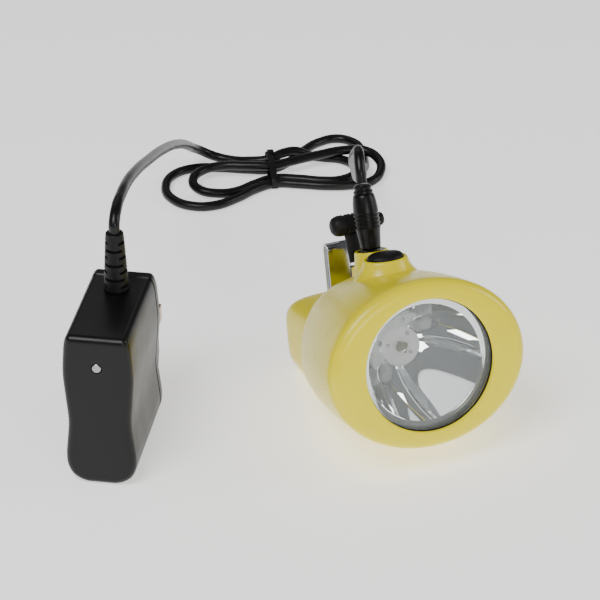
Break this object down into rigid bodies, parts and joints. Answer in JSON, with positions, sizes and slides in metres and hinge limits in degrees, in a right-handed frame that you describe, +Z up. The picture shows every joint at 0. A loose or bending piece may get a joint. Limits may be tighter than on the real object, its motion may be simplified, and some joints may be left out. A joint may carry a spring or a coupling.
{
  "type": "miner's cap lamp",
  "caption": "Cordless cap lamp with a tilted oval head, mirror reflector, battery box, helmet clip, push switch and dust plug, plugged into its wall charger.",
  "frame": {"origin": "on the ground under the middle of the lamp's own box, without the plug, cord and charger", "axes": "+Z up, the lamp shines towards -Y and is about 83 mm long along +Y, +X to the right seen from the front camera side"},
  "size_m": [0.1848, 0.2393, 0.0869],
  "materials": {
    "yellow_abs": "glossy moulded yellow plastic",
    "black_rubber": "matt black rubber",
    "black_abs": "satin black plastic",
    "cord_pvc": "satin black cord jacket",
    "clear_lens": "clear polycarbonate",
    "mirror_coat": "vacuum metallised mirror",
    "nickel_plate": "bright nickel plate",
    "spring_steel": "polished spring steel",
    "brass": "bright brass",
    "aluminium": "plain aluminium",
    "copper_winding": "enamelled copper",
    "green_board": "green solder mask",
    "white_board": "white solder mask",
    "led_ceramic": "LED package with clear dome",
    "cell_wrap": "blue shrink film",
    "foam": "soft foam",
    "red_wire": "red wire insulation"
  },
  "bodies": {
    "lamp": {"main_housing": "yellow_abs", "rear_housing": "yellow_abs", "housing_seal": "black_rubber", "lens_seal": "black_rubber", "lens": "clear_lens", "reflector": "mirror_coat", "led_board": "white_board", "main_led": "led_ceramic", "side_led_upper": "clear_lens", "side_led_lower": "clear_lens", "heat_sink": "aluminium", "driver_board": "green_board", "battery_cell_upper": "cell_wrap", "battery_cell_lower": "cell_wrap", "protection_board": "green_board", "battery_pad": "foam", "battery_lead_red": "red_wire", "battery_lead_black": "cord_pvc", "micro_switch": "black_abs", "switch_board": "green_board", "clip": "spring_steel", "clip_rivet_1": "spring_steel", "clip_rivet_2": "spring_steel", "housing_screw_1": "spring_steel", "housing_screw_2": "spring_steel", "housing_screw_3": "spring_steel", "housing_screw_4": "spring_steel", "dust_strap_anchor": "black_rubber", "strap_screw": "brass", "charge_socket": "black_abs", "socket_pin": "brass"},
    "switch_button": {"switch_boot": "black_rubber"},
    "dust_plug_body": {"dust_plug": "black_rubber"},
    "charging_lead": {"plug_barrel": "nickel_plate", "plug_insulator": "black_abs", "plug_body": "black_abs", "plug_strain_relief": "black_abs", "cord_plug_run": "cord_pvc", "cord_hank": "cord_pvc", "cord_tie": "black_rubber", "cord_charger_run": "cord_pvc", "charger_strain_relief": "black_rubber", "charger_case": "black_abs", "charger_cover": "black_abs", "pin_block": "black_abs", "blade_pin_left": "brass", "blade_pin_right": "brass", "indicator_light": "clear_lens", "charger_board": "green_board", "transformer": "copper_winding", "capacitor_1": "aluminium", "capacitor_2": "aluminium", "cover_screw_1": "spring_steel", "cover_screw_2": "spring_steel"}
  },
  "joints": [
    {"name": "switch_press", "type": "slide", "parent": "lamp", "child": "switch_button", "axis": [0, -0.2672, -0.9636], "range_m": [0, 0.0012], "stiffness_N_per_m": 1500},
    {"name": "dust_plug_swing", "type": "hinge", "parent": "lamp", "child": "dust_plug_body", "pos_m": [0, 0.01804, 0.04752], "axis": [1, 0, 0], "range_deg": [-45, 4], "stiffness_Nm_per_rad": 0.01},
    {"name": "charge_plug_pull", "type": "slide", "parent": "lamp", "child": "charging_lead", "axis": [0, 0.3827, 0.9239], "range_m": [0, 0.0105]}
  ]
}
